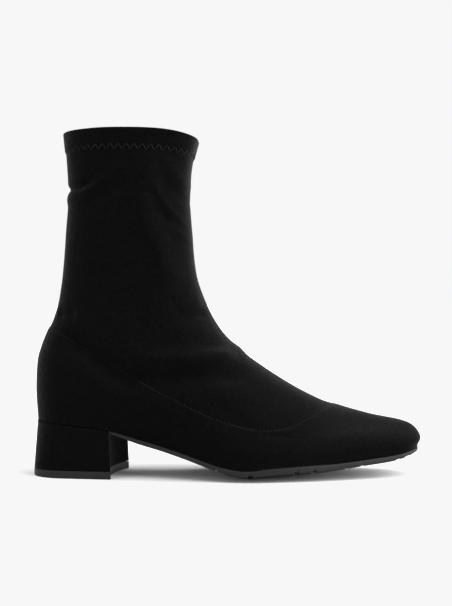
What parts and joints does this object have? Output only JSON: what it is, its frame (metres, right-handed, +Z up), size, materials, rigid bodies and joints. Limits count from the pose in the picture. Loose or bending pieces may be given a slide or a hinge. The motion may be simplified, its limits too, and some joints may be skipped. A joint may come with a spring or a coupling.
{
  "type": "ankle boot",
  "caption": "Black stretch suede sock ankle boot for the right foot, with a stitched lower panel, turned hem, covered block heel and thin rubber sole",
  "frame": {"origin": "on the floor, under the middle of the boot's box", "axes": "+X runs from heel to toe, +Y to the inner side of the right foot, +Z up"},
  "size_m": [0.2626, 0.0833, 0.2308],
  "materials": {
    "suede": "short matt nap with a soft sheen at grazing angles",
    "rubber": "satin, lightly scuffed",
    "sock": "plain matt lining cloth"
  },
  "bodies": {
    "root": {"upper": "suede", "outsole": "rubber", "heel": "suede", "heel_top_piece": "rubber", "insole": "sock"}
  },
  "joints": []
}
